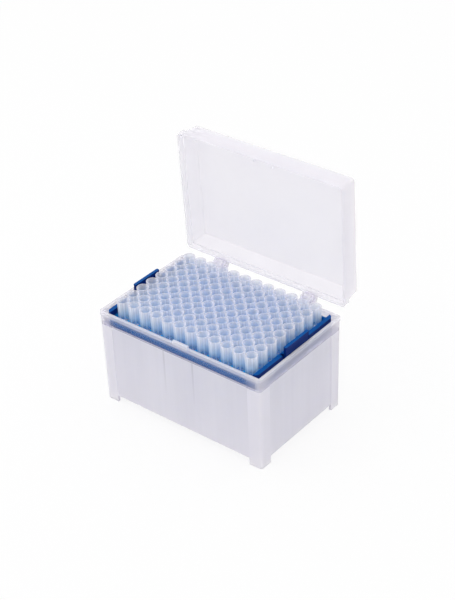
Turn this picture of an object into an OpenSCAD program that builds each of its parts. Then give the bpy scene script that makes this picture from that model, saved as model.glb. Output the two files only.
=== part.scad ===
// Box of pipette tips: a tub on four corner feet, a lid on two snap hinges at the back,
// a drop-in rack plate, and ninety-six tips in columns of eight.
// +Z is up and -Y is the front. The origin is on the bench, under the middle of the
// whole box with its lid standing open.

/* [Tip grid] */
// Distance between neighbouring tips, both ways
pitch = 9; // [8.8:0.1:10]
// Tips along the length of the box
columns = 12; // [12]
// Tips across the box, picked up together by an eight-channel pipette
rows = 8; // [4:1:8]

/* [Tip] */
// Overall length of one tip
tip_length = 59; // [52:0.5:64]
// How far the collar stands above its seat in the rack
collar_height = 13.2; // [11:0.1:15]
// Outside diameter of the collar at the mouth
collar_od = 7.8; // [7.4:0.1:8.2]
// Outside diameter of the collar at its lower edge
collar_foot_od = 7.4; // [7.2:0.1:7.8]
// Inside diameter of the mouth
mouth_id = 6.1; // [5.9:0.1:6.4]
// Depth of the socket that takes the pipette nozzle
socket_depth = 9; // [7:0.5:10]
// Inside diameter at the bottom of the socket
socket_id = 5.75; // [5.7:0.05:5.85]
// Outside diameter of the body just under the collar
body_od = 6.2; // [5.9:0.1:6.4]
// Length of the gently tapered body below the collar
body_length = 20; // [16:1:24]
// Outside diameter where the body turns into the long cone
cone_od = 4.6; // [4:0.1:5]
// Wall of the body and of the long cone
tip_wall = 0.45; // [0.35:0.05:0.6]
// Outside diameter at the point
point_od = 0.95; // [0.8:0.05:1.2]
// Bore at the point
point_id = 0.5; // [0.4:0.05:0.6]
// Grip ribs round each collar
collar_ribs = 8; // [6:1:10]
// How far a grip rib stands out of the collar
collar_rib_out = 0.22; // [0.15:0.01:0.3]
// Width of a grip rib
collar_rib_width = 0.5; // [0.4:0.05:0.7]
// Smooth band left above the grip ribs
collar_band = 1.8; // [1.5:0.1:3]

/* [Rack plate] */
// Depth of the tip seats below the tub's rim
seat_depth = 5.5; // [4.5:0.1:6.5]
// Distance of the plate's end faces from the middle of the last column
end_margin = 8.7; // [8.3:0.1:9.3]
// Distance of the plate's long faces from the middle of the outer rows
side_margin = 6.9; // [6.5:0.1:7.5]
// Corner radius of the rack plate
rack_corner = 3.5; // [2.5:0.1:4]
// Thickness of the deck
deck_thickness = 1.8; // [1.4:0.1:2.2]
// Height of the ring round each hole
ring_height = 1; // [0.6:0.1:1.4]
// Outside diameter of the ring round each hole
ring_od = 8.6; // [8.4:0.05:8.7]
// Clearance between a tip's body and its hole, on the diameter
hole_clearance = 0.3; // [0.2:0.05:0.5]
// Thickness of the skirt round the deck
skirt_wall = 1.4; // [1.2:0.1:1.8]
// How far the skirt hangs below the deck
skirt_drop = 1.7; // [1:0.1:2.5]
// How far the skirt stands above the deck
upstand_height = 3.3; // [2.5:0.1:5]
// Thickness of the rail at each end
end_rail_wall = 2.8; // [2.4:0.1:3.2]
// Height of the end rails above the deck
rail_height = 6.5; // [5.5:0.1:6.7]
// Length of the finger grip in the middle of each end
grip_length = 22.4; // [16:0.1:26]
// Height of the finger grip above the deck
grip_height = 11.5; // [9:0.1:12]
// Thickness of the finger grip
grip_wall = 1.8; // [1.6:0.1:2]
// How far the finger grip stands out past the plate's end
grip_out = 1.1; // [0.8:0.1:1.2]
// Height above the deck at which the finger grip steps out
grip_step = 2; // [1:0.1:3]
// Height of the bar along the top of the finger grip
bar_height = 1.6; // [1.2:0.1:2.2]
// How far that bar stands out past the finger grip
bar_out = 0.3; // [0.2:0.05:0.4]
// Width of the slot in the rail at each end of the finger grip
slot_width = 2; // [1.5:0.1:3]
// Depth of those slots from the rail's outer face
slot_depth = 2; // [1.6:0.1:2.2]

/* [Tub] */
// Gap between the rack plate's ends and the tub's walls
end_gap = 2.4; // [2.1:0.1:3]
// Gap between the rack plate's long sides and the tub's walls
side_gap = 0.7; // [0.6:0.1:1.2]
// Height of the rim above the bench
tub_height = 66; // [65:0.5:70]
// Wall of the tub
tub_wall = 1.3; // [1.1:0.1:1.5]
// How far the walls lean in from the rim to the bench, each side
tub_draft = 0.4; // [0.2:0.1:0.8]
// Corner radius inside the tub
inside_corner = 0.5; // [0.4:0.1:1.5]
// How far the rim stands out past the walls
rim_out = 0.8; // [0.5:0.1:1]
// Height of the rim band
rim_height = 2.2; // [1.6:0.1:5]
// Height of the four feet
foot_height = 4.5; // [3:0.5:6]
// Width of the corner posts that end in the feet
post_width = 9.5; // [7:0.5:12]
// How far the corner posts stand out past the walls
post_out = 0.3; // [0.2:0.05:0.5]
// Thickness of the floor
floor_thickness = 1.5; // [1.2:0.1:2]
// Thickness of the ribs that carry the rack plate
rib_wall = 1.2; // [1:0.1:1.6]
// How far each rib reaches in under the rack plate's skirt
rib_reach = 1.2; // [1:0.1:1.4]
// Distance of the long walls' ribs from the middle
long_rib_x = 11.2; // [8:0.1:20]
// Distance of the end walls' ribs from the middle
end_rib_y = 6.8; // [5:0.1:20]

/* [Lid] */
// How far open the lid stands at its stop
open_angle = 87; // [80:1:90]
// How far the lid's ends lie in from the ends of the rim
lid_end_in = 0.7; // [0.2:0.1:1.2]
// How far the lid overhangs the rim at the back
lid_back_out = 0.2; // [0:0.1:0.4]
// Height of the lid over its rim
lid_height = 16.3; // [14:0.1:20]
// Wall of the lid
lid_wall = 1.3; // [1.1:0.1:1.5]
// Height of the wider band along the lid's rim
band_height = 4.8; // [3:0.1:6]
// How far that band stands out past the walls above it
band_out = 0.8; // [0.5:0.1:1]
// How far the lid's walls lean in above the band, each side
lid_draft = 0.8; // [0.4:0.1:1.2]
// Corner radius of the lid's rim
lid_corner = 2.2; // [1.8:0.1:3]
// Radius of the edge round the top of the lid
lid_edge = 1.4; // [1:0.1:1.6]
// Gap between the closed lid and the rim
lid_gap = 0.3; // [0.2:0.05:0.5]

/* [Latch] */
// Place of the latch along the front, from the middle
latch_x = 3.5; // [-5:0.5:5]
// Length of the latch tab on the tub
latch_length = 11.5; // [8:0.5:13]
// Height of the latch tab above the rim
latch_up = 2.5; // [1.5:0.1:3]
// How far the latch tab runs down below the top of the rim
latch_down = 0.5; // [0.4:0.1:2]
// How far the latch tab stands out past the rim
latch_out = 0.4; // [0.2:0.1:1]
// Thickness of the latch tab
latch_wall = 1.6; // [1.2:0.1:1.8]
// Gap between the latch tab and the inside of the shut lid's front wall
latch_gap = 0.5; // [0.3:0.05:0.6]
// Length from end to end of the two guides in the lid, one at each side of the latch tab
guide_length = 24; // [22:0.5:40]
// How far the guides stand in from the lid's front wall
guide_in = 1.4; // [1:0.1:1.8]
// Clearance between the latch tab and each guide
guide_clearance = 0.3; // [0.2:0.05:0.5]

/* [Hinges] */
// Distance of each hinge from the middle
hinge_x = 34.8; // [28:0.1:40]
// Distance of the hinge pin behind the rim
pin_behind = 3.8; // [3.7:0.1:4.4]
// Height of the hinge pin above the rim
pin_above = 0.2; // [0:0.1:0.4]
// Radius of the hinge pin
pin_radius = 1.5; // [1.3:0.05:1.6]
// Radial clearance of the pin in the lid's eyes
pin_clearance = 0.06; // [0.04:0.01:0.09]
// Overall width of a hinge over the lid's two cheeks
fork_width = 9; // [8:0.5:11]
// Thickness of each cheek
cheek_wall = 1.8; // [1.5:0.1:2.2]
// Radius of the eye round the pin
eye_radius = 3; // [2.7:0.1:3.1]
// Side clearance between a cheek and the tub's knuckle
cheek_clearance = 0.3; // [0.2:0.05:0.4]
// Height of the lid's wall that each cheek is joined to
cheek_height = 6; // [5:0.5:8]
// Height of the rear wall that each knuckle's gusset is joined to
gusset_height = 9; // [6:0.5:12]
// Gap left between the open lid and its stop
stop_gap = 0.3; // [0.2:0.05:0.4]

/* [Hidden] */

natural = "#e4e1ee";   // translucent natural polypropylene
rack_blue = "#1266b4";
tip_clear = "#dfe4f3";

// Smoothness of round walls, and of the corners inside a hull
round_steps = 48;
hull_steps = 32;
// A thin slice for building tapered blocks from their outlines
slice = 0.01;
// How far cuts run past what they cut, and how far joined pieces run into each other
past = 1;
bite = 0.4;

// Rack plate, hung from the level of the tub's rim
seat_z = tub_height - seat_depth;
deck_top = seat_z - ring_height;
skirt_bottom = deck_top - deck_thickness - skirt_drop;
rack_half = [(columns - 1) * pitch / 2 + end_margin, (rows - 1) * pitch / 2 + side_margin];
hole_d = body_od + hole_clearance;

// Tub, built round the rack plate
cavity_half = [rack_half.x + end_gap, rack_half.y + side_gap];
wall_half = [cavity_half.x + tub_wall, cavity_half.y + tub_wall];
rim_half = [wall_half.x + rim_out, wall_half.y + rim_out];
wall_corner = inside_corner + tub_wall;
rim_corner = wall_corner + rim_out;
floor_top = foot_height + floor_thickness;

// Lid, described shut on the tub and then swung open about the hinge pins
lid_bottom = tub_height + lid_gap;
lid_top = lid_bottom + lid_height;
lid_back = rim_half.y + lid_back_out;
lid_front = -rim_half.y - latch_out - latch_gap - lid_wall;
lid_half = [rim_half.x - lid_end_in, (lid_back - lid_front) / 2];
lid_mid_y = (lid_back + lid_front) / 2;
pin_y = rim_half.y + pin_behind;
pin_z = tub_height + pin_above;
knuckle_width = fork_width - 2 * (cheek_wall + cheek_clearance);
// The knuckle's flat top stops the lid's back wall
stop_height = pin_y - lid_back - stop_gap;

// The open lid's rearmost corner and the latch's face set the middle of the whole box
lid_rear_y = lid_back - band_out - lid_draft - pin_y;
lid_rear_z = lid_top - lid_edge - pin_z;
edge_turn = lid_edge * (1 - sin(90 - open_angle));
box_back = pin_y + lid_rear_y * cos(open_angle) + lid_rear_z * sin(open_angle) + edge_turn;
box_front = -rim_half.y - latch_out;
box_mid_y = (box_back + box_front) / 2;

// Puts a piece described about the tub's middle into the frame of the whole box
module in_frame() {
    translate([0, -box_mid_y, 0]) children();
}

// A rectangle with round corners
module rounded_outline(half, corner) {
    square([2 * half.x, 2 * (half.y - corner)], center = true);
    square([2 * (half.x - corner), 2 * half.y], center = true);
    for (sx = [-1, 1], sy = [-1, 1])
        translate([sx * (half.x - corner), sy * (half.y - corner)])
            circle(r = corner, $fn = round_steps);
}

// The four corner discs of one level of a tapered block
module corner_slices(half, corner, z) {
    for (sx = [-1, 1], sy = [-1, 1])
        translate([sx * (half.x - corner), sy * (half.y - corner), z])
            cylinder(r = corner, h = slice, $fn = hull_steps);
}

// A block with round corners whose walls lean in downwards, from z1 up to z2
module tapered_block(half, corner, draft, z1, z2) {
    hull() {
        corner_slices([half.x - draft, half.y - draft], corner, z1);
        corner_slices(half, corner, z2 - slice);
    }
}

// ---- Tub ----

// Corner posts: the part of a tapered block that lies within post_width of each corner
module corner_posts() {
    post_half = [wall_half.x + post_out, wall_half.y + post_out];
    intersection() {
        tapered_block(post_half, wall_corner + post_out, tub_draft, 0, tub_height);
        for (sx = [-1, 1], sy = [-1, 1])
            translate([sx * post_half.x, sy * post_half.y, tub_height / 2])
                cube([2 * post_width, 2 * post_width, tub_height], center = true);
    }
}

module tub_shell() {
    difference() {
        union() {
            intersection() {
                tapered_block(wall_half, wall_corner, tub_draft, 0, tub_height);
                translate([0, 0, foot_height + tub_height / 2])
                    cube([2 * rim_half.x, 2 * rim_half.y, tub_height], center = true);
            }
            corner_posts();
            translate([0, 0, tub_height - rim_height])
                linear_extrude(rim_height) rounded_outline(rim_half, rim_corner);
        }
        tub_cavity();
    }
}

// The space inside the tub, and the open space between its feet
module tub_cavity() {
    difference() {
        tapered_block(cavity_half, inside_corner, tub_draft, -past, tub_height + past);
        translate([0, 0, foot_height + floor_thickness / 2])
            cube([2 * rim_half.x, 2 * rim_half.y, floor_thickness], center = true);
    }
}

// Upright ribs on the inside of the walls, with the rack plate standing on their tops
module rack_ribs() {
    rib_height = skirt_bottom - floor_top + bite;
    long_rib = wall_half.y - rack_half.y + rib_reach - tub_draft - bite;
    end_rib = wall_half.x - rack_half.x + rib_reach - tub_draft - bite;
    for (sx = [-1, 1], sy = [-1, 1]) {
        translate([sx * long_rib_x - rib_wall / 2,
                   sy > 0 ? rack_half.y - rib_reach : -rack_half.y + rib_reach - long_rib,
                   floor_top - bite])
            cube([rib_wall, long_rib, rib_height]);
        translate([sx > 0 ? rack_half.x - rib_reach : -rack_half.x + rib_reach - end_rib,
                   sy * end_rib_y - rib_wall / 2,
                   floor_top - bite])
            cube([end_rib, rib_wall, rib_height]);
    }
}

// Tab on the front rim, which stands right behind the shut lid's front wall
module latch_tab() {
    translate([latch_x - latch_length / 2, box_front, tub_height - latch_down])
        cube([latch_length, latch_wall, latch_down + latch_up]);
}

// Side view of a hinge knuckle: an arm from the rear wall, round in front of and under
// the pin, square behind it and flat on top where the open lid comes to rest
module knuckle_outline() {
    wall_y = wall_half.y - bite;
    arm_top = tub_height - lid_gap;
    translate([pin_y, pin_z]) {
        circle(r = stop_height, $fn = round_steps);
        square(stop_height);
    }
    polygon([[wall_y, arm_top], [pin_y, arm_top], [pin_y + stop_height, pin_z],
             [pin_y, pin_z - stop_height], [wall_y, tub_height - gusset_height]]);
}

// Knuckle with the pin that the lid's two cheeks snap over
module tub_knuckle() {
    rotate([90, 0, 90])
        translate([0, 0, -knuckle_width / 2])
            linear_extrude(knuckle_width) knuckle_outline();
    translate([0, pin_y, pin_z])
        rotate([0, 90, 0])
            cylinder(r = pin_radius, h = fork_width - bite, center = true, $fn = round_steps);
}

module tub() {
    color(natural) in_frame() {
        tub_shell();
        rack_ribs();
        latch_tab();
        for (side = [-1, 1]) translate([side * hinge_x, 0, 0]) tub_knuckle();
    }
}

// ---- Lid ----

// The lid's outside or inside above its rim band, leaning in to a rounded top edge
module lid_block(inset, z1, z2) {
    foot_half = [lid_half.x - band_out - inset, lid_half.y - band_out - inset];
    edge = lid_edge - inset / 2;
    corner = lid_corner - inset / 2;
    hull() {
        corner_slices(foot_half, corner, z1);
        for (turn = [0 : 22.5 : 90]) {
            lean = lid_draft + edge * (1 - cos(turn));
            corner_slices([foot_half.x - lean, foot_half.y - lean], corner,
                          z2 - edge * (1 - sin(turn)) - slice);
        }
    }
}

module lid_shell() {
    translate([0, lid_mid_y, 0])
        difference() {
            union() {
                translate([0, 0, lid_bottom])
                    linear_extrude(band_height) rounded_outline(lid_half, lid_corner);
                lid_block(0, lid_bottom + band_height - bite, lid_top);
            }
            translate([0, 0, lid_bottom - past])
                linear_extrude(band_height - lid_wall + past)
                    rounded_outline([lid_half.x - lid_wall, lid_half.y - lid_wall],
                                    lid_corner - lid_wall);
            lid_block(lid_wall, lid_bottom + band_height - lid_wall - bite, lid_top - lid_wall);
        }
}

// Guides inside the lid's front wall, with room between them for the latch tab
module latch_guides() {
    room = latch_length + 2 * guide_clearance;
    difference() {
        translate([-guide_length / 2, lid_front + bite, lid_bottom])
            cube([guide_length, lid_wall - bite + guide_in, band_height - lid_wall + bite]);
        translate([latch_x - room / 2, lid_front + lid_wall, lid_bottom - past])
            cube([room, guide_in + past, band_height + past]);
    }
}

// Side view of a cheek: the eye round the pin and its gusset to the lid's back wall
module cheek_outline() {
    wall_y = lid_back - bite;
    translate([pin_y, pin_z]) circle(r = eye_radius, $fn = round_steps);
    polygon([[wall_y, lid_bottom], [pin_y, pin_z],
             [pin_y + eye_radius * sin(45), pin_z + eye_radius * cos(45)],
             [wall_y - band_out, lid_bottom + cheek_height], [wall_y - band_out, lid_bottom]]);
}

// Two cheeks with the eyes that turn on one of the tub's pins
module lid_fork() {
    for (side = [-1, 1])
        translate([side * (fork_width - cheek_wall) / 2, 0, 0])
            rotate([90, 0, 90])
                translate([0, 0, -cheek_wall / 2])
                    linear_extrude(cheek_wall)
                        difference() {
                            cheek_outline();
                            translate([pin_y, pin_z])
                                circle(r = pin_radius + pin_clearance, $fn = round_steps);
                        }
}

module shut_lid() {
    lid_shell();
    latch_guides();
    for (side = [-1, 1]) translate([side * hinge_x, 0, 0]) lid_fork();
}

module lid() {
    color(natural) in_frame()
        translate([0, pin_y, pin_z])
            rotate([-open_angle, 0, 0])
                translate([0, -pin_y, -pin_z]) shut_lid();
}

// ---- Rack plate ----

// Places its children once at every tip
module at_each_tip(column_list) {
    for (column = column_list, row = [1 : rows])
        translate([(column - (columns + 1) / 2) * pitch, (row - (rows + 1) / 2) * pitch, 0])
            children();
}

// Deck with a ring round every hole
module deck() {
    difference() {
        union() {
            translate([0, 0, deck_top - deck_thickness])
                linear_extrude(deck_thickness) rounded_outline(rack_half, rack_corner);
            translate([0, 0, deck_top - bite])
                at_each_tip([1 : columns])
                    cylinder(d = ring_od, h = ring_height + bite, $fn = round_steps);
        }
        translate([0, 0, deck_top - deck_thickness - past])
            at_each_tip([1 : columns])
                cylinder(d = hole_d, h = deck_thickness + ring_height + 2 * past,
                         $fn = round_steps);
    }
}

// Skirt round the deck's edge, from below the deck to above it
module rack_skirt() {
    inner_half = [rack_half.x - skirt_wall, rack_half.y - skirt_wall];
    translate([0, 0, skirt_bottom])
        linear_extrude(deck_top + upstand_height - skirt_bottom)
            difference() {
                rounded_outline(rack_half, rack_corner);
                rounded_outline(inner_half, rack_corner - skirt_wall);
            }
}

// Rail along the +X end, from corner to corner, slotted at both ends of the finger grip
module end_rail() {
    difference() {
        translate([0, 0, deck_top - bite])
            linear_extrude(rail_height + bite)
                intersection() {
                    rounded_outline(rack_half, rack_corner);
                    translate([rack_half.x - end_rail_wall, -rack_half.y])
                        square([end_rail_wall, 2 * rack_half.y]);
                }
        for (side = [-1, 1])
            translate([rack_half.x - slot_depth,
                       side * (grip_length + slot_width) / 2 - slot_width / 2, deck_top])
                cube([slot_depth + past, slot_width, rail_height + past]);
    }
}

// Finger grip at the +X end: an upright wall with a round-ended bar along its top
module finger_grip() {
    inner_x = rack_half.x + grip_out - grip_wall;
    bar_half = [(grip_wall + bar_out) / 2, grip_length / 2 + bar_out];
    translate([inner_x, -grip_length / 2, deck_top + grip_step])
        cube([grip_wall, grip_length, grip_height - grip_step]);
    translate([inner_x + bar_half.x, 0, deck_top + grip_height - bar_height])
        linear_extrude(bar_height) rounded_outline(bar_half, bar_half.x - slice);
}

module rack_end() {
    end_rail();
    finger_grip();
}

module rack_plate() {
    color(rack_blue) in_frame() {
        deck();
        rack_skirt();
        rack_end();
        rotate([0, 0, 180]) rack_end();
    }
}

// ---- Tips ----

// Half section of one tip, with z = 0 at the seat under its collar
module tip_profile() {
    mouth_z = collar_height;
    socket_z = mouth_z - socket_depth;
    cone_z = -body_length;
    point_z = mouth_z - tip_length;
    lead_in = (collar_od - mouth_id) / 4;
    polygon([
        [mouth_id / 2 + lead_in, mouth_z], [collar_od / 2, mouth_z],
        [collar_foot_od / 2, 0], [body_od / 2, 0],
        [cone_od / 2, cone_z], [point_od / 2, point_z],
        [point_id / 2, point_z], [cone_od / 2 - tip_wall, cone_z],
        [body_od / 2 - tip_wall, 0], [socket_id / 2, socket_z],
        [mouth_id / 2, mouth_z - lead_in]
    ]);
}

// One tip: the tapered tube and the grip ribs round its collar
module tip() {
    rotate_extrude($fn = round_steps) tip_profile();
    rib_out_r = collar_foot_od / 2 + collar_rib_out;
    for (rib = [1 : collar_ribs])
        rotate([0, 0, rib * 360 / collar_ribs])
            translate([collar_foot_od / 2 - bite, -collar_rib_width / 2, 0])
                cube([rib_out_r - collar_foot_od / 2 + bite, collar_rib_width,
                      collar_height - collar_band]);
}

module tips_column(column) {
    color(tip_clear) in_frame()
        translate([0, 0, seat_z]) at_each_tip([column]) tip();
}

tub();
lid();
rack_plate();
tips_column(1);  // tips_column_1
tips_column(2);  // tips_column_2
tips_column(3);  // tips_column_3
tips_column(4);  // tips_column_4
tips_column(5);  // tips_column_5
tips_column(6);  // tips_column_6
tips_column(7);  // tips_column_7
tips_column(8);  // tips_column_8
tips_column(9);  // tips_column_9
tips_column(10);  // tips_column_10
tips_column(11);  // tips_column_11
tips_column(12);  // tips_column_12
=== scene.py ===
"""Looks for the box of pipette tips: polypropylene mouldings in three grades, in a light tent.
Every piece of the box is a CAD node, which keeps its shape and gets its material here."""

from math import cos, radians, sin

import bmesh
import bpy
from mathutils import Matrix, Vector


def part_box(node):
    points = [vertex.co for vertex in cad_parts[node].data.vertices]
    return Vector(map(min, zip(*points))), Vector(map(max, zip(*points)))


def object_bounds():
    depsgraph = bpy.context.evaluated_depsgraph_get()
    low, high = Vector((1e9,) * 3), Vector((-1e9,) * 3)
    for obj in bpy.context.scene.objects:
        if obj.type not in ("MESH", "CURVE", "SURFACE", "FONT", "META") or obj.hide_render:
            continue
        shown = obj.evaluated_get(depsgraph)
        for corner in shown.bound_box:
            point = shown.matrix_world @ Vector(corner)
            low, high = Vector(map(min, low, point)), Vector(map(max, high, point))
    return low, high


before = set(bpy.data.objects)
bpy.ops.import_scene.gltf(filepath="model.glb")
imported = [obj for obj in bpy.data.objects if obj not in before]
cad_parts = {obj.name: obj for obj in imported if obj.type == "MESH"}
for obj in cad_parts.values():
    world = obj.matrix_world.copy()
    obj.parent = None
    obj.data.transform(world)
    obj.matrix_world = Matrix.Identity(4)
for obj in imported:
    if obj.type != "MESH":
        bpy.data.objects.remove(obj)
cad_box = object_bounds()

MM = 0.001
COLUMNS = 12
COLUMN_NAMES = [f"tips_column_{number}" for number in range(1, COLUMNS + 1)]
# Light bends as much in every grade of polypropylene
POLYPROPYLENE_IOR = 1.49

# The tips' grid, the grip ribs round each collar and the radius just inside its outer face
TIP_PITCH = 9 * MM
RIBS_PER_TIP = 8
COLLAR_RADIUS = 3.6 * MM

# Levels of the tips' seats in the rack plate and of the top of its end rails
SEAT_HEIGHT = 60.5 * MM
RAIL_TOP = 66 * MM
# The rack plate stands in the middle of the tub
PLATE_LOW, PLATE_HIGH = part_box("rack_plate")
TUB_MIDDLE_Y = (PLATE_LOW.y + PLATE_HIGH.y) / 2
# Half the length and width of the rack plate's skirt, its thickness and that of the end rails
PLATE_HALF = (58.2 * MM, (PLATE_HIGH.y - PLATE_LOW.y) / 2)
SKIRT_WALL = 1.5 * MM
RAIL_WALL = 2.8 * MM
# The faces above the deck turn from painted light to painted navy shade between these heights over
# it
PAINTED_SHADE_START = 2 * MM
PAINTED_SHADE_FULL = 4 * MM
# How near a face has to be to a level, or past an edge, to count as on it
LEVEL_SLACK = 0.03 * MM
EDGE_SLACK = 0.1 * MM
# The ribs inside each long wall, from the middle, and half the width of the sink line over one
LONG_RIB_X = 11.2 * MM
SINK_LINE_HALF = 0.7 * MM
# Share of light that goes straight through the thick corner posts and through the lid
POST_CLEARNESS = 0.22
LID_CLEARNESS = 0.64

# Tent: the way to its lamps, how bright it shines away from them and towards them, and the
# cosines of the angle to them at which it is that bright
TOWARD_LAMPS = Vector((-0.3, -0.2, 0.93))
TENT_DIMMEST, TENT_BRIGHTEST = 0.82, 1.0
COSINE_DIMMEST, COSINE_BRIGHTEST = -0.4, 0.9
# Paper floor: half its side, how white it is, and the share of its white that no shadow reaches
FLOOR_HALF = 3.0
PAPER_WHITENESS = 0.9
PAPER_GLOW = 0.86

# Camera: where it stands round the box, how it is turned about its own axis, and its lens
CAMERA_AZIMUTH = radians(39.75)
CAMERA_HEIGHT_ANGLE = radians(33.28)
CAMERA_ROLL = radians(-2.33)
CAMERA_DISTANCE = 901.3 * MM
CAMERA_LENS = 88.72
SENSOR_SIZE = 36
# It aims just to the right of and behind the middle of the tips' mouths
AIM_SHIFT = Vector((2.36, 5.75, 0)) * MM


# ---------------------------------------------------------------- helpers


def linear(hex_colour):
    """An sRGB hex colour as the linear RGBA that the shaders take."""
    values = [int(hex_colour[i : i + 2], 16) / 255 for i in (1, 3, 5)]
    return tuple(
        v / 12.92 if v <= 0.04045 else ((v + 0.055) / 1.055) ** 2.4 for v in values
    ) + (1.0,)


def add_node(tree, kind, settings=None, inputs=None):
    """Adds a node, sets its properties and its inputs; an input given a socket is linked to it."""
    node = tree.nodes.new(kind)
    for name, value in (settings or {}).items():
        setattr(node, name, value)
    for name, value in (inputs or {}).items():
        socket = node.inputs[name]
        if isinstance(value, bpy.types.NodeSocket):
            tree.links.new(value, socket)
        else:
            socket.default_value = value
    return node


def new_material(name):
    """An empty node material and its tree."""
    material = bpy.data.materials.new(name)
    material.use_nodes = True
    material.node_tree.nodes.clear()
    return material, material.node_tree


def per_metre(size_mm):
    """The texture scale at which one feature is size_mm across."""
    return 1 / (size_mm * MM)


def off_middle(tree, across):
    """How far a point is from the middle of the tub, along its length and across it."""
    from_middle = add_node(tree, "ShaderNodeMath", {"operation": "SUBTRACT"}, {
        0: across.outputs["Y"], 1: TUB_MIDDLE_Y}).outputs[0]
    return [add_node(tree, "ShaderNodeMath", {"operation": "ABSOLUTE"}, {0: offset}).outputs[0]
            for offset in (across.outputs["X"], from_middle)]


# ---------------------------------------------------------------- materials


def natural_polypropylene(name, clearness, tints):
    """Injection-moulded natural polypropylene, satin from a spark-eroded mould: milky, so that it
    glows with the light behind it, and what lies inside shows only as a soft shape. clearness
    gives the share of light that goes straight through a face, as a socket or a number, and tints
    are the two colours of the milk between which the cloudiness swings."""
    material, tree = new_material(name)
    place = add_node(tree, "ShaderNodeTexCoord").outputs["Object"]
    # Cloudy crystals in the plastic, a few centimetres across
    cloud = add_node(tree, "ShaderNodeTexNoise", {}, {
        "Vector": place, "Scale": per_metre(32), "Detail": 3.0, "Roughness": 0.5})
    tint = add_node(tree, "ShaderNodeMix", {"data_type": "RGBA"}, {
        "Factor": cloud.outputs["Fac"], "A": linear(tints[0]), "B": linear(tints[1])})
    # Fine satin grain from the mould, drawn at 0.35 mm so that it shows
    grain = add_node(tree, "ShaderNodeTexNoise", {}, {
        "Vector": place, "Scale": per_metre(0.35), "Detail": 2.0})
    satin = add_node(tree, "ShaderNodeMapRange", {}, {
        "Value": grain.outputs["Fac"], "To Min": 0.28, "To Max": 0.38})
    milk = add_node(tree, "ShaderNodeBsdfPrincipled", {}, {
        "Base Color": tint.outputs["Result"], "Roughness": satin.outputs["Result"],
        "IOR": POLYPROPYLENE_IOR, "Subsurface Weight": 1.0, "Subsurface Radius": (1.0, 1.0, 1.0),
        "Subsurface Scale": 2.2 * MM})
    see_through = add_node(tree, "ShaderNodeBsdfTransparent", {}, {"Color": linear("#fdfcfe")})
    mixed = add_node(tree, "ShaderNodeMixShader", {}, {
        0: clearness(tree, place), 1: milk.outputs["BSDF"], 2: see_through.outputs["BSDF"]})
    add_node(tree, "ShaderNodeOutputMaterial", {}, {"Surface": mixed.outputs[0]})
    return material


def lid_clearness(tree, place):
    """The same all over, because the lid's walls are all thin and nothing stands behind them."""
    return LID_CLEARNESS


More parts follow.
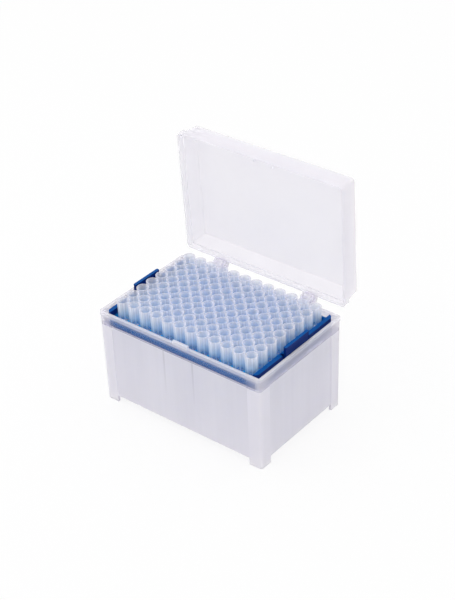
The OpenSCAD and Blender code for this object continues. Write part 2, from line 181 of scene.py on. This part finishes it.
def tub_clearness(tree, place):
    """What touches a milky wall shows through it, and what stands off from it fades: the wall is
    clearest over the rack plate's skirt, less so at the ends, where the skirt is farther off, and
    whitest where it is thick, at the corner posts, the ribs, the rim and the latch tab."""
    across = add_node(tree, "ShaderNodeSeparateXYZ", {}, {0: place})
    off_x, off_y = off_middle(tree, across)
    height = across.outputs["Z"]
    # What changes along each direction: from and to in millimetres, and its value at either end
    along = {}
    for name, measure, low, high, start, end in (
            ("band over long walls and ends", off_x, 59.5, 60.5, 0.95, 0.72),
            ("band above the skirt's foot", height, 56.4, 57.4, 0.0, 1.0),
            ("band under the thick rim", height, 61.2, 65.0, 0.95, 0.6),
            ("near a post, lengthways", off_x, 49.0, 60.0, 0.0, 1.0),
            ("near a post, crossways", off_y, 25.0, 38.0, 0.0, 1.0),
            ("on a post, lengthways", off_x, 52.4, 52.7, 0.0, 1.0),
            ("on a post, crossways", off_y, 30.9, 31.2, 0.0, 1.0),
            ("past the skirt, lengthways", off_x, 57.6, 59.2, 0.0, 1.0),
            ("past the skirt, crossways", off_y, 29.0, 39.5, 0.0, 1.0),
            ("wall, thinner towards the top", height, 5.0, 50.0, 0.22, 0.3),
            ("sink lines, deepest under the rack", height, 22.0, 50.0, 0.0, 0.1),
            ("top of the rim", height, 65.8, 65.95, 1.0, 0.45)):
        along[name] = add_node(tree, "ShaderNodeMapRange", {}, {
            "Value": measure, "From Min": low * MM, "From Max": high * MM,
            "To Min": start, "To Max": end}).outputs["Result"]
    # Both offsets are large only at a corner
    at_corner = {}
    for name in ("near a post", "on a post", "past the skirt"):
        at_corner[name] = add_node(tree, "ShaderNodeMath", {"operation": "MINIMUM"}, {
            0: along[name + ", lengthways"], 1: along[name + ", crossways"]}).outputs[0]

    band = along["band over long walls and ends"]
    for limit in ("band above the skirt's foot", "band under the thick rim"):
        band = add_node(tree, "ShaderNodeMath", {"operation": "MINIMUM"}, {
            0: band, 1: along[limit]}).outputs[0]
    thinness = add_node(tree, "ShaderNodeMapRange", {}, {
        "Value": at_corner["near a post"], "To Min": 1.0, "To Max": 0.8}).outputs["Result"]
    band = add_node(tree, "ShaderNodeMath", {"operation": "MULTIPLY"}, {
        0: band, 1: thinness}).outputs[0]

    wall = add_node(tree, "ShaderNodeMix", {"data_type": "FLOAT"}, {
        "Factor": at_corner["on a post"], "A": along["wall, thinner towards the top"],
        "B": POST_CLEARNESS}).outputs["Result"]
    # Broad soft bands where the melt ran up the walls, and faint lines in them: how wide they are
    # in millimetres, how much they are squeezed upright, and how much clearness they take or add
    for width, squeeze, depth in ((30, 0.3, 0.16), (3, 0.02, 0.04)):
        drawn_out = add_node(tree, "ShaderNodeMapping", {}, {
            "Vector": place, "Scale": (1.0, 1.0, squeeze)}).outputs["Vector"]
        lines = add_node(tree, "ShaderNodeTexNoise", {}, {
            "Vector": drawn_out, "Scale": per_metre(width), "Detail": 2.0}).outputs["Fac"]
        swing = add_node(tree, "ShaderNodeMath", {"operation": "MULTIPLY_ADD"}, {
            0: lines, 1: depth, 2: -depth / 2}).outputs[0]
        wall = add_node(tree, "ShaderNodeMath", {"operation": "ADD"}, {
            0: wall, 1: swing}).outputs[0]
    # Sink lines over the two ribs inside each long wall
    over_rib = add_node(tree, "ShaderNodeMath", {"operation": "COMPARE"}, {
        0: off_x, 1: LONG_RIB_X, 2: SINK_LINE_HALF}).outputs[0]
    wall = add_node(tree, "ShaderNodeMath", {"operation": "MULTIPLY_ADD"}, {
        0: over_rib, 1: along["sink lines, deepest under the rack"], 2: wall}).outputs[0]

    clearness = add_node(tree, "ShaderNodeMath", {"operation": "MAXIMUM"}, {
        0: wall, 1: band}).outputs[0]
    # No skirt stands behind the corners, so their thick walls look milky
    over_corner = add_node(tree, "ShaderNodeMapRange", {}, {
        "Value": at_corner["past the skirt"], "To Min": 1.0, "To Max": 0.6}).outputs["Result"]
    for limit in (over_corner, along["top of the rim"]):
        clearness = add_node(tree, "ShaderNodeMath", {"operation": "MINIMUM"}, {
            0: clearness, 1: limit}).outputs[0]
    return clearness


def rib_whiteness(tree, place, collar_radius):
    """How much whiter the plastic is on the upright ribs outside each tip, where it is thick. The
    tips stand on a square grid, so one cell of it gives the direction from each tip's axis."""
    across = add_node(tree, "ShaderNodeSeparateXYZ", {}, {0: place})
    from_middle = add_node(tree, "ShaderNodeMath", {"operation": "SUBTRACT"}, {
        0: across.outputs["Y"], 1: TUB_MIDDLE_Y}).outputs[0]
    in_cell = []
    for along in (across.outputs["X"], from_middle):
        cell = add_node(tree, "ShaderNodeMath", {"operation": "FLOORED_MODULO"}, {
            0: along, 1: TIP_PITCH}).outputs[0]
        in_cell.append(add_node(tree, "ShaderNodeMath", {"operation": "SUBTRACT"}, {
            0: cell, 1: TIP_PITCH / 2}).outputs[0])
    turn = add_node(tree, "ShaderNodeMath", {"operation": "ARCTAN2"}, {
        0: in_cell[1], 1: in_cell[0]}).outputs[0]
    turns = add_node(tree, "ShaderNodeMath", {"operation": "MULTIPLY"}, {
        0: turn, 1: RIBS_PER_TIP}).outputs[0]
    wave = add_node(tree, "ShaderNodeMath", {"operation": "COSINE"}, {0: turns}).outputs[0]
    on_rib = add_node(tree, "ShaderNodeMapRange", {}, {
        "Value": wave, "From Min": 0.3, "From Max": 0.9, "To Max": 0.16}).outputs["Result"]
    spread = [add_node(tree, "ShaderNodeMath", {"operation": "MULTIPLY"}, {
        0: offset, 1: offset}).outputs[0] for offset in in_cell]
    reach = add_node(tree, "ShaderNodeMath", {"operation": "ADD"}, {
        0: spread[0], 1: spread[1]}).outputs[0]
    outside = add_node(tree, "ShaderNodeMath", {"operation": "GREATER_THAN"}, {
        0: reach, 1: collar_radius ** 2}).outputs[0]
    return add_node(tree, "ShaderNodeMath", {"operation": "MULTIPLY"}, {
        0: on_rib, 1: outside}).outputs[0]


def clear_polypropylene(mouth_height, seat_height):
    """Injection-moulded clarified polypropylene from a polished mould: nearly clear face on, and
    whiter where the eye meets a wall at a slant and at the cut of the mouth. The collars are
    painted with a blue reflection of the rack plate, strongest at their feet and fading up to the
    mouth, and the thin cones under the rack are clearest."""
    material, tree = new_material("clear_polypropylene_moulded")
    place = add_node(tree, "ShaderNodeTexCoord").outputs["Object"]
    height = add_node(tree, "ShaderNodeSeparateXYZ", {}, {0: place}).outputs["Z"]
    slant = add_node(tree, "ShaderNodeLayerWeight", {}, {"Blend": 0.5}).outputs["Facing"]
    haze = add_node(tree, "ShaderNodeMapRange", {}, {
        "Value": slant, "To Min": 0.22, "To Max": 0.92}).outputs["Result"]
    thickness = add_node(tree, "ShaderNodeMapRange", {}, {
        "Value": height, "From Min": seat_height - 1 * MM, "From Max": seat_height + 6 * MM,
        "To Min": 0.3, "To Max": 1.0}).outputs["Result"]
    wall = add_node(tree, "ShaderNodeMath", {"operation": "MULTIPLY_ADD"}, {
        0: haze, 1: thickness, 2: rib_whiteness(tree, place, COLLAR_RADIUS)})
    rim = add_node(tree, "ShaderNodeMapRange", {}, {
        "Value": height, "From Min": mouth_height - 0.6 * MM, "From Max": mouth_height - 0.1 * MM,
        "To Max": 0.32}).outputs["Result"]
    share = add_node(tree, "ShaderNodeMath", {"operation": "MAXIMUM"}, {
        0: wall.outputs[0], 1: rim})
    # Painted reflection of the rack plate: the milk is tinted blue at the collar's foot and fades
    # to white at the mouth
    blue_reflection_fade = add_node(tree, "ShaderNodeMapRange", {}, {
        "Value": height, "From Min": seat_height, "From Max": mouth_height}).outputs["Result"]
    tint = add_node(tree, "ShaderNodeMix", {"data_type": "RGBA"}, {
        "Factor": blue_reflection_fade, "A": linear("#d8f1fe"), "B": linear("#fefbff")}).outputs["Result"]
    skin = add_node(tree, "ShaderNodeBsdfPrincipled", {}, {
        "Base Color": tint, "Roughness": 0.25, "IOR": POLYPROPYLENE_IOR})
    glow = add_node(tree, "ShaderNodeBsdfTranslucent", {}, {"Color": tint})
    milk = add_node(tree, "ShaderNodeMixShader", {}, {
        0: 0.4, 1: skin.outputs["BSDF"], 2: glow.outputs["BSDF"]})
    see_through = add_node(tree, "ShaderNodeBsdfTransparent", {}, {"Color": linear("#fdfeff")})
    mixed = add_node(tree, "ShaderNodeMixShader", {}, {
        0: share.outputs[0], 1: see_through.outputs["BSDF"], 2: milk.outputs[0]})
    add_node(tree, "ShaderNodeOutputMaterial", {}, {"Surface": mixed.outputs[0]})
    return material


def blue_polypropylene(deck_height, tops, half_length, half_width):
    """Injection-moulded polypropylene coloured through in strong blue, painted with light and
    shade.
    The deck and the top edges at the heights tops are painted brighter, as if lit from above; the
    skirt round the deck is painted darker, and the upright faces of the rails and grips are
    painted in deep navy shade."""
    material, tree = new_material("blue_polypropylene_moulded")
    spot = add_node(tree, "ShaderNodeTexCoord")
    across = add_node(tree, "ShaderNodeSeparateXYZ", {}, {0: spot.outputs["Object"]})
    off_x, off_y = off_middle(tree, across)
    on_skirt = at_top = 0.0
    for offset, half in ((off_x, half_length), (off_y, half_width)):
        past = add_node(tree, "ShaderNodeMath", {"operation": "GREATER_THAN"}, {
            0: offset, 1: half - SKIRT_WALL}).outputs[0]
        on_skirt = add_node(tree, "ShaderNodeMath", {"operation": "MAXIMUM"}, {
            0: on_skirt, 1: past}).outputs[0]
    for top in tops:
        level = add_node(tree, "ShaderNodeMath", {"operation": "COMPARE"}, {
            0: across.outputs["Z"], 1: top, 2: LEVEL_SLACK}).outputs[0]
        at_top = add_node(tree, "ShaderNodeMath", {"operation": "MAXIMUM"}, {
            0: at_top, 1: level}).outputs[0]
    # Painted light and shade on one blue: the deck is painted bright, as if lit from above, and
    # the skirt round it is painted in darker shade
    plate = add_node(tree, "ShaderNodeMix", {"data_type": "RGBA"}, {
        "Factor": on_skirt, "A": linear("#36b6e8"), "B": linear("#0862a6")}).outputs["Result"]
    # Upright faces are painted in deep navy shade, and their top edges are painted lighter, as if
    # lit from above
    upright = add_node(tree, "ShaderNodeMix", {"data_type": "RGBA"}, {
        "Factor": at_top, "A": linear("#08286c"), "B": linear("#024e96")}).outputs["Result"]
    # Painted light and shade: the rings round the holes are painted bright up to their tops, and
    # the rails are painted in dark shade from the deck up
    on_rail = add_node(tree, "ShaderNodeMath", {"operation": "GREATER_THAN"}, {
        0: off_x, 1: half_length - RAIL_WALL - EDGE_SLACK}).outputs[0]
    raised = add_node(tree, "ShaderNodeMath", {"operation": "MULTIPLY_ADD"}, {
        0: on_rail, 1: PAINTED_SHADE_START, 2: across.outputs["Z"]}).outputs[0]
    above_deck = add_node(tree, "ShaderNodeMapRange", {}, {
        "Value": raised, "From Min": deck_height + PAINTED_SHADE_START,
        "From Max": deck_height + PAINTED_SHADE_FULL}).outputs["Result"]
    # Painted shade takes over from painted light as the faces rise above the deck
    shading = add_node(tree, "ShaderNodeMix", {"data_type": "RGBA"}, {
        "Factor": above_deck, "A": plate, "B": upright})
    # Streaks where the melt ran, about a centimetre across
    flow = add_node(tree, "ShaderNodeTexNoise", {}, {
        "Vector": spot.outputs["Object"], "Scale": per_metre(9), "Detail": 3.0})
    streak = add_node(tree, "ShaderNodeMapRange", {}, {
        "Value": flow.outputs["Fac"], "To Min": 0.92, "To Max": 1.08})
    tint = add_node(tree, "ShaderNodeHueSaturation", {}, {
        "Value": streak.outputs["Result"], "Color": shading.outputs["Result"]})
    plastic = add_node(tree, "ShaderNodeBsdfPrincipled", {}, {
        "Base Color": tint.outputs["Color"], "Roughness": 0.42, "IOR": POLYPROPYLENE_IOR,
        "Specular IOR Level": 0.06})
    add_node(tree, "ShaderNodeOutputMaterial", {}, {"Surface": plastic.outputs["BSDF"]})
    return material


# ---------------------------------------------------------------- stage


def sees_background(tree):
    """1 for what the eye sees, straight or in a reflection or refraction, and 0 for lighting."""
    path = add_node(tree, "ShaderNodeLightPath").outputs
    shine = add_node(tree, "ShaderNodeMath", {"operation": "MAXIMUM"}, {
        0: path["Is Camera Ray"], 1: path["Is Glossy Ray"]})
    return add_node(tree, "ShaderNodeMath", {"operation": "MAXIMUM"}, {
        0: shine.outputs[0], 1: path["Is Transmission Ray"]}).outputs[0]


def make_world():
    """A white tent: plain white to the eye and in reflections, and as a light brightest overhead
    and to the left, where its lamps hang."""
    world = bpy.data.worlds.new("light_tent")
    bpy.context.scene.world = world
    world.use_nodes = True
    tree = world.node_tree
    tree.nodes.clear()
    ray = add_node(tree, "ShaderNodeTexCoord").outputs["Generated"]
    toward_lamps = add_node(tree, "ShaderNodeVectorMath", {"operation": "DOT_PRODUCT"}, {
        0: ray, 1: TOWARD_LAMPS})
    light = add_node(tree, "ShaderNodeMapRange", {}, {
        "Value": toward_lamps.outputs["Value"], "From Min": COSINE_DIMMEST,
        "From Max": COSINE_BRIGHTEST, "To Min": TENT_DIMMEST, "To Max": TENT_BRIGHTEST})
    strength = add_node(tree, "ShaderNodeMix", {"data_type": "FLOAT"}, {
        "Factor": sees_background(tree), "A": light.outputs["Result"], "B": 1.0})
    glow = add_node(tree, "ShaderNodeBackground", {}, {
        "Color": (1, 1, 1, 1), "Strength": strength.outputs["Result"]})
    add_node(tree, "ShaderNodeOutputWorld", {}, {"Surface": glow.outputs["Background"]})


def make_floor():
    """White paper sweep: seen as white, with the box's shadow left as a light grey."""
    material, tree = new_material("white_paper")
    paper = add_node(tree, "ShaderNodeBsdfDiffuse", {}, {"Color": (*[PAPER_WHITENESS] * 3, 1)})
    white = add_node(tree, "ShaderNodeEmission", {}, {"Color": (1, 1, 1, 1), "Strength": 1.0})
    share = add_node(tree, "ShaderNodeMath", {"operation": "MULTIPLY"}, {
        0: sees_background(tree), 1: PAPER_GLOW})
    mixed = add_node(tree, "ShaderNodeMixShader", {}, {
        0: share.outputs[0], 1: paper.outputs[0], 2: white.outputs[0]})
    add_node(tree, "ShaderNodeOutputMaterial", {}, {"Surface": mixed.outputs[0]})
    mesh = bpy.data.meshes.new("floor")
    shape = bmesh.new()
    bmesh.ops.create_grid(shape, x_segments=1, y_segments=1, size=FLOOR_HALF)
    bmesh.ops.translate(shape, verts=shape.verts, vec=(0, 0, cad_box[0][2]))
    shape.to_mesh(mesh)
    shape.free()
    floor = bpy.data.objects.new("floor", mesh)
    bpy.context.scene.collection.objects.link(floor)
    floor.data.materials.append(material)


def add_lamp(name, azimuth, height_angle, distance, size, power):
    """A square softbox that points at the middle of the box: size and distance in metres, and
    power in watts."""
    lamp = bpy.data.lights.new(name, "AREA")
    lamp.size = size
    lamp.energy = power
    softbox = bpy.data.objects.new(name, lamp)
    bpy.context.scene.collection.objects.link(softbox)
    middle = (Vector(cad_box[0]) + Vector(cad_box[1])) / 2
    away = Vector((sin(azimuth) * cos(height_angle), -cos(azimuth) * cos(height_angle),
                   sin(height_angle)))
    softbox.location = middle + away * distance
    softbox.rotation_euler = away.to_track_quat("Z", "Y").to_euler()


def make_camera():
    """The camera, with its roll, aimed near the middle of the tips' mouths."""
    tips_low, tips_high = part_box(COLUMN_NAMES[0])
    far_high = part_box(COLUMN_NAMES[-1])[1]
    aim = Vector(((tips_low.x + far_high.x) / 2, (tips_low.y + tips_high.y) / 2,
                  tips_high.z)) + AIM_SHIFT
    back = Vector((sin(CAMERA_AZIMUTH) * cos(CAMERA_HEIGHT_ANGLE),
                   -cos(CAMERA_AZIMUTH) * cos(CAMERA_HEIGHT_ANGLE), sin(CAMERA_HEIGHT_ANGLE)))
    level = Vector((0, 0, 1)).cross(back).normalized()
    upright = back.cross(level)
    right = cos(CAMERA_ROLL) * level + sin(CAMERA_ROLL) * upright
    up = cos(CAMERA_ROLL) * upright - sin(CAMERA_ROLL) * level
    lens = bpy.data.cameras.new("camera")
    lens.lens = CAMERA_LENS
    lens.sensor_width = SENSOR_SIZE
    camera = bpy.data.objects.new("camera", lens)
    bpy.context.scene.collection.objects.link(camera)
    turn = Matrix((right, up, back)).transposed().to_4x4()
    camera.matrix_world = Matrix.Translation(aim + back * CAMERA_DISTANCE) @ turn
    bpy.context.scene.camera = camera


# ---------------------------------------------------------------- the scene

make_world()
make_floor()
add_lamp("key_softbox", azimuth=radians(-60), height_angle=radians(65), distance=1.1, size=0.7,
         power=1.6)
add_lamp("rear_softbox", azimuth=radians(160), height_angle=radians(60), distance=1.1, size=0.6,
         power=0.4)
make_camera()

finishes = {
    "tub": natural_polypropylene(
        "natural_polypropylene_tub", tub_clearness, ("#f7f4fe", "#f1eefa")),
    "lid": natural_polypropylene(
        "natural_polypropylene_lid", lid_clearness, ("#f8f6fb", "#f1f0f5")),
    "rack_plate": blue_polypropylene(SEAT_HEIGHT, (RAIL_TOP, PLATE_HIGH.z), *PLATE_HALF),
}
tips_finish = clear_polypropylene(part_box(COLUMN_NAMES[0])[1].z, SEAT_HEIGHT)
finishes.update((column_name, tips_finish) for column_name in COLUMN_NAMES)
for node_name, shading in finishes.items():
    node_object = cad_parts[node_name]
    node_object.data.materials.clear()
    node_object.data.materials.append(shading)

scene = bpy.context.scene
scene.view_settings.view_transform = "Standard"
# A look along the rows passes through dozens of clear walls
scene.cycles.max_bounces = 24
scene.cycles.diffuse_bounces = 16
scene.cycles.transmission_bounces = 16
scene.cycles.transparent_max_bounces = 96
